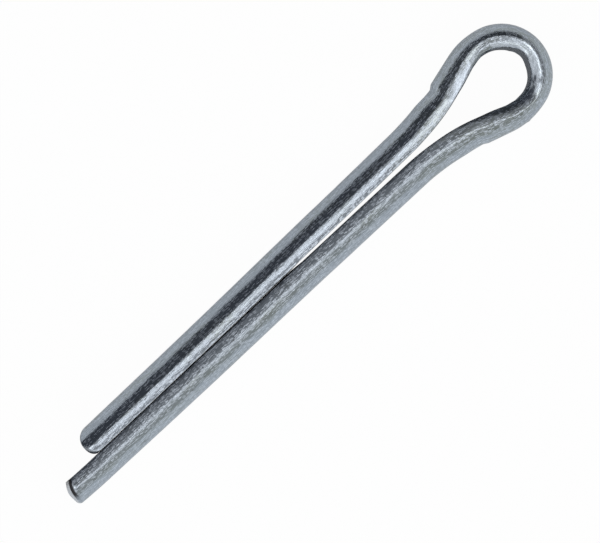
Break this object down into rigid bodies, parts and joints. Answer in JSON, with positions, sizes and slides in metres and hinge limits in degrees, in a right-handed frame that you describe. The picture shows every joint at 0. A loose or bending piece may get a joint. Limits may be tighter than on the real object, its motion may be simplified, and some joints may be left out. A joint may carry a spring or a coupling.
{
  "type": "cotter pin",
  "caption": "Split pin of half-round steel wire folded flat to flat, with a round eye, a short leg with a rounded nose and a longer cropped leg, for locking a nut or clevis pin.",
  "frame": {"origin": "on the shank's axis, in the middle of the stretch that sits in the hole, 7.85 mm from the short leg's tip", "axes": "+X runs along the shank towards the eye, +Y towards the short leg, +Z along the eye's axis, across the flats' width"},
  "size_m": [0.0528, 0.0085, 0.0042],
  "materials": {
    "plated_steel": "bright zinc plating, faintly bluish, with fine drawing lines along the wire"
  },
  "bodies": {
    "root": {"cotter_pin": "plated_steel"}
  },
  "joints": []
}
